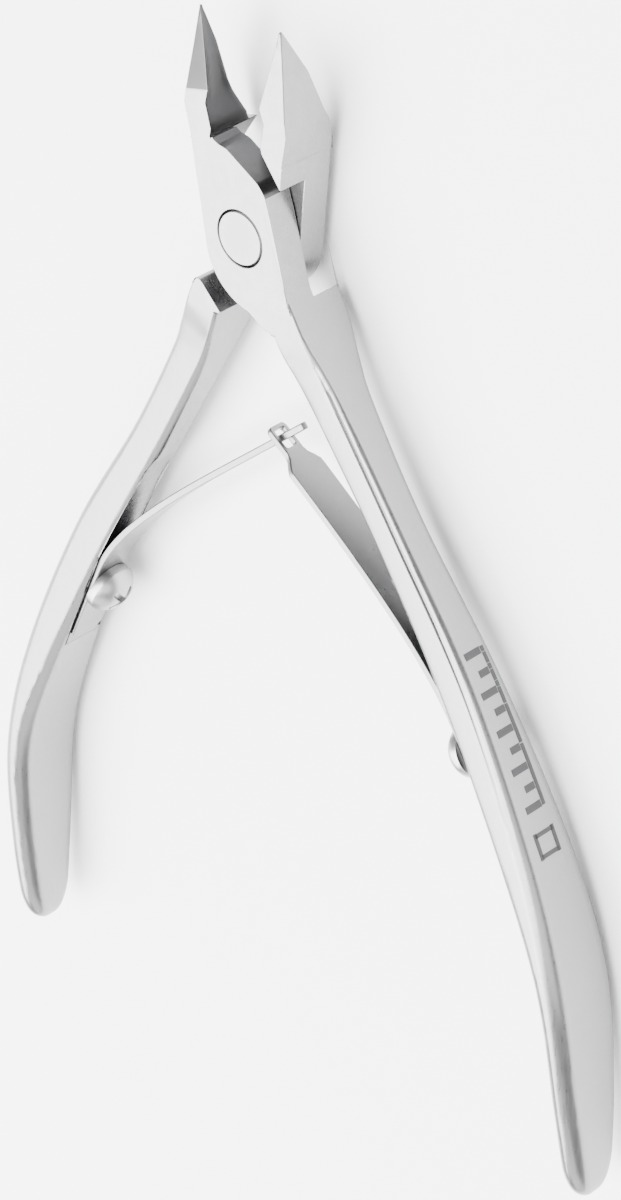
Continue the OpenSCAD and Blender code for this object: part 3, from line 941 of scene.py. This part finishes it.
def steel(name, colour, rough, grain, wear, groups, fineness, stretch, metallic):
    """Steel with brushing, uneven gloss and rubbed edges."""
    material, tree, shader = new_material(name)
    shader.inputs["Metallic"].default_value = metallic
    where = add(tree, "ShaderNodeTexCoord").outputs["Object"]
    brushed = add(tree, "ShaderNodeGroup", {"Vector": where, "Fineness": fineness, "Stretch": stretch,
                                           "Strength": grain}, node_tree=groups[0]).outputs
    worn = add(tree, "ShaderNodeAttribute", attribute_name="wear").outputs["Fac"]
    rubbed = add(tree, "ShaderNodeGroup", {"Vector": where, "Worn": worn, "Amount": wear},
                 node_tree=groups[1]).outputs["Mask"]
    tone = calc(tree, "ADD", brushed["Tone"], 1.0)
    base = add(tree, "ShaderNodeVectorMath", {0: tuple(colour), "Scale": tone}, operation="SCALE")
    bright = [min(1.0, c * 1.12) for c in colour]
    mixed = add(tree, "ShaderNodeMix", {0: rubbed, 6: base.outputs[0], 7: (*bright, 1)}, data_type="RGBA")
    uneven = calc(tree, "ADD", brushed["Rough"], rough)
    gloss = calc(tree, "SUBTRACT", uneven, calc(tree, "MULTIPLY", rubbed, 0.12))
    bump = add(tree, "ShaderNodeBump", {"Strength": 0.1, "Distance": 0.00001, "Height": brushed["Height"]})
    for key, value in (("Base Color", mixed.outputs[2]), ("Roughness", gloss), ("Normal", bump.outputs[0])):
        tree.links.new(value, shader.inputs[key])
    return material


def finishes(scene):
    """The object's materials, made once."""
    if "satin_steel" not in bpy.data.materials:
        look = scene.nipper_finish
        groups = brushed_group(), wear_group()
        for name, colour, rough, grain, wear, fineness, stretch, metallic in (
                ("satin_steel", look.lever, look.lever_rough, 1.0, 1.0, 5200.0, 0.06, 1.0),
                ("rolled_spring_steel", look.spring, look.spring_rough, 1.0, 1.0, 4200.0, 0.12, 1.0),
                ("turned_steel", look.screw, look.screw_rough, 0.7, 1.0, 6000.0, 0.5, 1.0),
                # The ground and honed rows carry painted shade: their dark tints stand in for the dark
                # reflections on the jaws' hollows and front facets.
                ("ground_steel_painted_shade", look.ground, 0.42, 1.0, 1.0, 3600.0, 0.3, 1.0),
                ("honed_steel_painted_shade", look.honed, 0.38, 1.0, 1.0, 4200.0, 0.5, 1.0),
                ("etched_steel", look.etch, 0.7, 1.0, 0.0, 9000.0, 1.0, 0.0)):
            steel(name, colour, rough, grain * look.grain, wear * look.wear, groups, fineness, stretch,
                  metallic)
    return bpy.data.materials


# ---- operators ----

class NIPPER_OT_levers(bpy.types.Operator):
    """Build both levers with their jaws, joint, spring seats and handles"""
    bl_idname = "nipper.levers"
    bl_label = "Levers"

    def execute(self, context):
        plan, steel_of = Plan(context.scene), finishes(context.scene)
        for name, front in (("front_lever_forged", True), ("rear_lever_forged", False)):
            make_lever(plan, name, front, steel_of["satin_steel"], steel_of["ground_steel_painted_shade"],
                       steel_of["honed_steel_painted_shade"])
        return {"FINISHED"}


class NIPPER_OT_pivot(bpy.types.Operator):
    """Build the flush rivet and its collar"""
    bl_idname = "nipper.pivot"
    bl_label = "Pivot"

    def execute(self, context):
        plan, material = Plan(context.scene), finishes(context.scene)["satin_steel"]
        p, top = plan.pivot, plan.lever["depth"]
        head, thick, shank, c = p["head"], p["head_thick"], p["shank"], p["chamfer"]
        lip = 0.05
        rivet = made("rivet_turned", lathe_mesh([
            (0, 0.0), (shank - c, 0.0), (shank, c), (shank, top - thick), (head - lip, top - thick),
            (head, top - thick + lip), (head, top - 2.4 * c), (head - 0.8 * c, top - 0.06),
            (head - c, top - 0.015), (0.55 * head, top), (0, top)]))
        collar = made("collar_turned", lathe_mesh([
            (0, 0.0), (head - c, 0.0), (head, c), (head, thick - lip), (head - lip, thick), (0, thick)]))
        carve(collar, [made("collar_bore", rod_mesh(shank + 0.015, -1, thick + 1))], "DIFFERENCE")
        for piece, node in ((rivet, "pivot_rivet"), (collar, "pivot_collar")):
            shade(piece, 25)
            paint(piece, material)
            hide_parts(node)
            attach(piece, "rear_half")
        return {"FINISHED"}


class NIPPER_OT_springs(bpy.types.Operator):
    """Build the eye leaf and the tongue leaf"""
    bl_idname = "nipper.springs"
    bl_label = "Leaf springs"

    def execute(self, context):
        plan, material = Plan(context.scene), finishes(context.scene)["rolled_spring_steel"]
        make_leaf(plan, "eye_leaf", 1, ("eye_spring_foot", "eye_spring"),
                  material)
        make_leaf(plan, "tongue_leaf", -1, ("tongue_spring_foot", "tongue_spring"),
                  material)
        return {"FINISHED"}


class NIPPER_OT_screws(bpy.types.Operator):
    """Build the two domed screws that hold the leaves"""
    bl_idname = "nipper.screws"
    bl_label = "Spring screws"

    def execute(self, context):
        plan, material = Plan(context.scene), finishes(context.scene)["turned_steel"]
        tree = screw_tree(material)
        make_screw(plan, tree, "eye_screw_domed", 1, "front_half", "eye_spring_screw", material)
        make_screw(plan, tree, "tongue_screw_domed", -1, "rear_half", "tongue_spring_screw", material)
        return {"FINISHED"}


class NIPPER_OT_mark(bpy.types.Operator):
    """Add the plain etched row on the front lever's handle"""
    bl_idname = "nipper.mark"
    bl_label = "Etched mark"

    def execute(self, context):
        plan = Plan(context.scene)
        make_mark(plan, context.scene.nipper_mark, finishes(context.scene)["etched_steel"])
        return {"FINISHED"}


class NIPPER_OT_stage(bpy.types.Operator):
    """Set up the floor, the soft light and the camera"""
    bl_idname = "nipper.stage"
    bl_label = "Stage"

    def execute(self, context):
        scene, look = context.scene, context.scene.nipper_stage
        under, far = CAD_BOX[0].z - 0.2 * MM, 3.0
        floor = bpy.data.meshes.new("floor")
        floor.from_pydata([(x, y, under) for x, y in ((-far, -far), (far, -far), (far, far), (-far, far))],
                          [], [(0, 1, 2, 3)])
        material, tree, shader = new_material("pale_floor")
        shader.inputs["Roughness"].default_value = 0.9
        noise = add(tree, "ShaderNodeTexNoise", {"Scale": 40.0, "Detail": 2.0}).outputs["Fac"]
        bright = [min(1.0, c * 1.01) for c in look.floor]
        tone = add(tree, "ShaderNodeMix", {0: noise, 6: (*look.floor, 1), 7: (*bright, 1)},
                   data_type="RGBA")
        tree.links.new(tone.outputs[2], shader.inputs["Base Color"])
        floor.materials.append(material)
        linked("floor", floor)
        scene.world = bpy.data.worlds.new("pale_room")
        scene.world.use_nodes = True
        sky = scene.world.node_tree.nodes["Background"].inputs
        sky["Color"].default_value, sky["Strength"].default_value = (*look.sky, 1), look.sky_power
        aim = Vector((0, -0.03, 0))
        for name, place, size, watts in (
                ("key_light", (-0.42, -0.40, 0.62), 0.7, look.key_power),
                ("top_light", (0.05, 0.0, 1.3), 1.3, look.top_power),
                ("handle_fill", (0.15, -0.95, 0.42), 0.7, look.fill_power),
                ("left_fill", (-0.95, -0.4, 0.25), 0.6, look.fill_power),
                ("side_light", (0.7, -0.1, 0.5), 0.5, look.rim_power)):
            lamp = bpy.data.lights.new(name, "AREA")
            lamp.shape, lamp.size, lamp.energy = "SQUARE", size, watts
            holder = linked(name, lamp)
            holder.location = place
            holder.rotation_euler = (aim - Vector(place)).to_track_quat("-Z", "Y").to_euler()
        lens = bpy.data.cameras.new("camera")
        lens.sensor_fit = "VERTICAL"
        lens.sensor_height, lens.lens = 24.0, 94.94
        camera = linked("camera", lens)
        right, up = Vector((0.72861, -0.03226, -0.68417)), Vector((-0.32508, 0.86293, -0.38690))
        camera.matrix_world = (Matrix.Translation((0.269109, 0.184671, 0.275040))
                               @ Matrix((right, up, right.cross(up))).transposed().to_4x4())
        scene.camera = camera
        return {"FINISHED"}


class NIPPER_PT_panel(bpy.types.Panel):
    """Lists the steps and their settings in the sidebar"""
    bl_label = "Cuticle Nipper"
    bl_idname = "NIPPER_PT_panel"
    bl_space_type = "VIEW_3D"
    bl_region_type = "UI"
    bl_category = "Nipper"

    def draw(self, context):
        for step in STEPS:
            self.layout.operator(step.bl_idname)
        for settings in SETTINGS:
            group = getattr(context.scene, settings)
            box = self.layout.box()
            for key in group.__annotations__:
                box.prop(group, key)


STEPS = (NIPPER_OT_levers, NIPPER_OT_pivot, NIPPER_OT_springs, NIPPER_OT_screws, NIPPER_OT_mark,
         NIPPER_OT_stage)
SETTINGS = {"nipper_lever": LeverSizes, "nipper_pivot": PivotSizes, "nipper_spring": SpringSizes,
            "nipper_screw": ScrewSizes, "nipper_mark": MarkSizes, "nipper_finish": Finishes,
            "nipper_stage": StageLook}
CLASSES = (*SETTINGS.values(), *STEPS, NIPPER_PT_panel)


def register():
    for cls in CLASSES:
        bpy.utils.register_class(cls)
    for name, group in SETTINGS.items():
        setattr(bpy.types.Scene, name, PointerProperty(type=group))


def unregister():
    for name in SETTINGS:
        delattr(bpy.types.Scene, name)
    for cls in reversed(CLASSES):
        bpy.utils.unregister_class(cls)


def main():
    register()
    bpy.ops.nipper.levers()
    bpy.ops.nipper.pivot()
    bpy.ops.nipper.springs()
    bpy.ops.nipper.screws()
    bpy.ops.nipper.mark()
    bpy.ops.nipper.stage()


if __name__ == "__main__":
    main()
